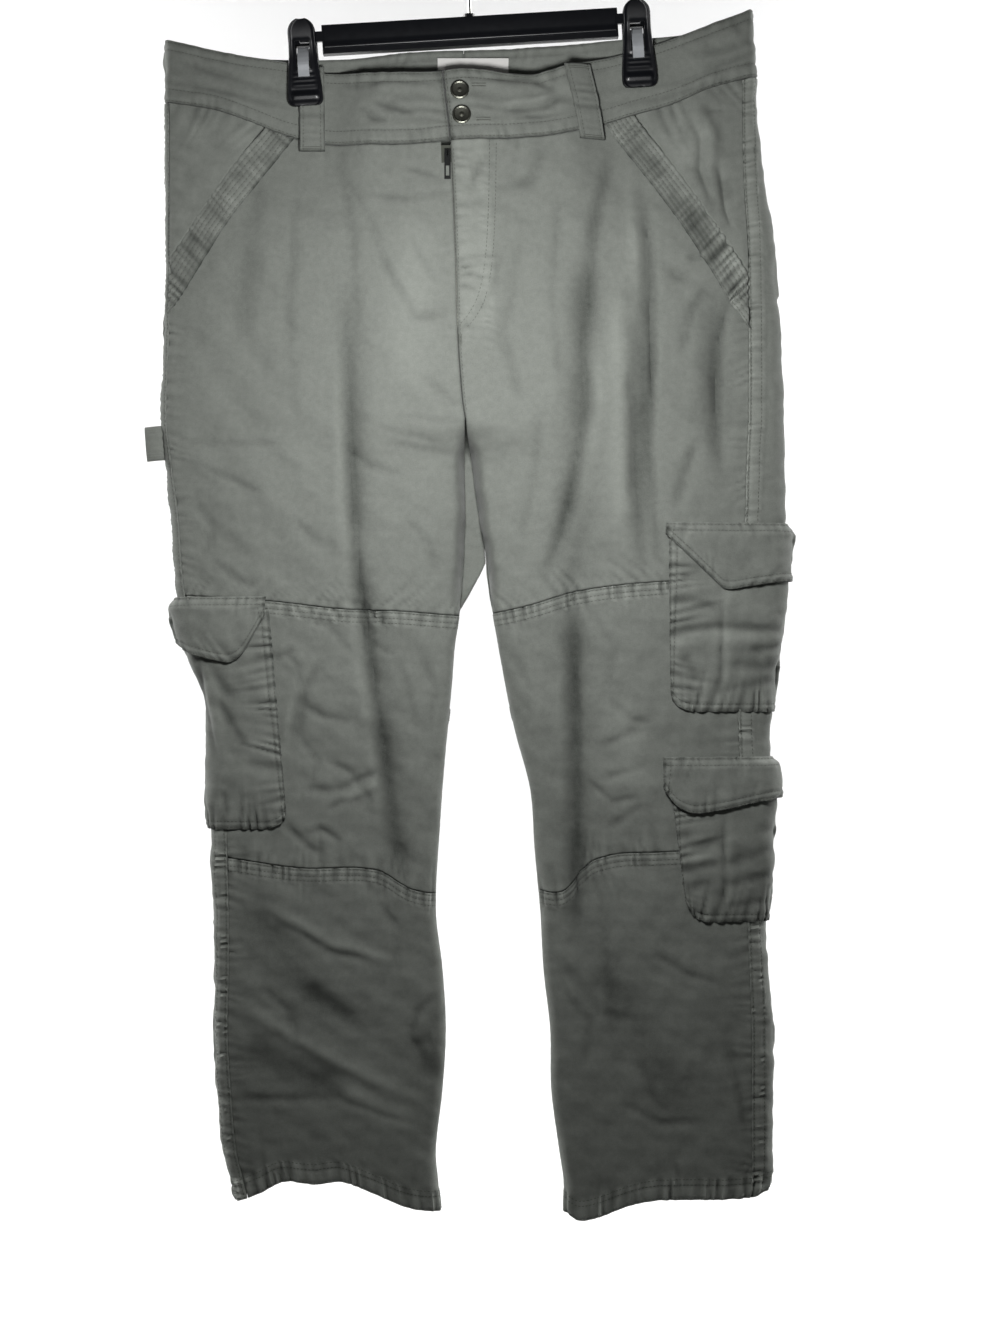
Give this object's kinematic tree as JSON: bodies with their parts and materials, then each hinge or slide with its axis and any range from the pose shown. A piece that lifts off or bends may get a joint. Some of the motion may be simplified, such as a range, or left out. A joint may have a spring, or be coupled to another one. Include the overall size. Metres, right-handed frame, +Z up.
{
  "type": "cargo pants on a clip hanger",
  "caption": "Loose cotton cargo trousers with flap pockets, a hammer loop and slanted hip pockets, hung flat by the waistband from a plastic clip hanger with a wire hook.",
  "frame": {"origin": "top of the inside of the hanger's hook, where it rests on a rail", "axes": "+Z up, the garment's front faces -Y, the wearer's left leg is on +X"},
  "size_m": [0.583, 0.06, 1.1664],
  "materials": {
    "twill": "grey-green cotton twill",
    "steel": "plain zinc-grey steel",
    "black_plastic": "black moulded plastic, semi-gloss",
    "dark_metal": "dark antique brass",
    "zip_tape": "woven tape",
    "label": "blank woven label"
  },
  "bodies": {
    "garment": {"back_lower_left": "twill", "back_lower_right": "twill", "back_upper_left": "twill", "back_upper_right": "twill", "belt_loop_back_centre": "twill", "belt_loop_back_left": "twill", "belt_loop_back_right": "twill", "belt_loop_front_left": "twill", "belt_loop_front_right": "twill", "button_lower": "dark_metal", "button_upper": "dark_metal", "cargo_flap_left_lower": "twill", "cargo_flap_left_upper": "twill", "cargo_flap_right": "twill", "cargo_pocket_left_lower": "twill", "cargo_pocket_left_upper": "twill", "cargo_pocket_right": "twill", "clip_back_left": "black_plastic", "clip_back_right": "black_plastic", "clip_front_left": "black_plastic", "clip_front_right": "black_plastic", "clip_spring_left": "steel", "clip_spring_right": "steel", "front_knee_left": "twill", "front_knee_right": "twill", "front_shin_left": "twill", "front_shin_right": "twill", "front_thigh_left": "twill", "front_thigh_right": "twill", "hammer_loop": "twill", "hanger_bar": "black_plastic", "hanger_hook": "steel", "hip_facing_left": "twill", "hip_facing_right": "twill", "hip_pocket_band_left": "twill", "hip_pocket_band_right": "twill", "label": "label", "waistband_left": "twill", "waistband_right": "twill", "zip_slider": "dark_metal", "zip_tape": "zip_tape"},
    "zip_pull": {"zip_pull_tab": "dark_metal"}
  },
  "joints": [
    {"name": "pull_tab_swing", "type": "hinge", "parent": "garment", "child": "zip_pull", "pos_m": [-0.01966, -0.02432, -0.21], "axis": [-1, 0, 0], "range_deg": [0, 150]}
  ]
}
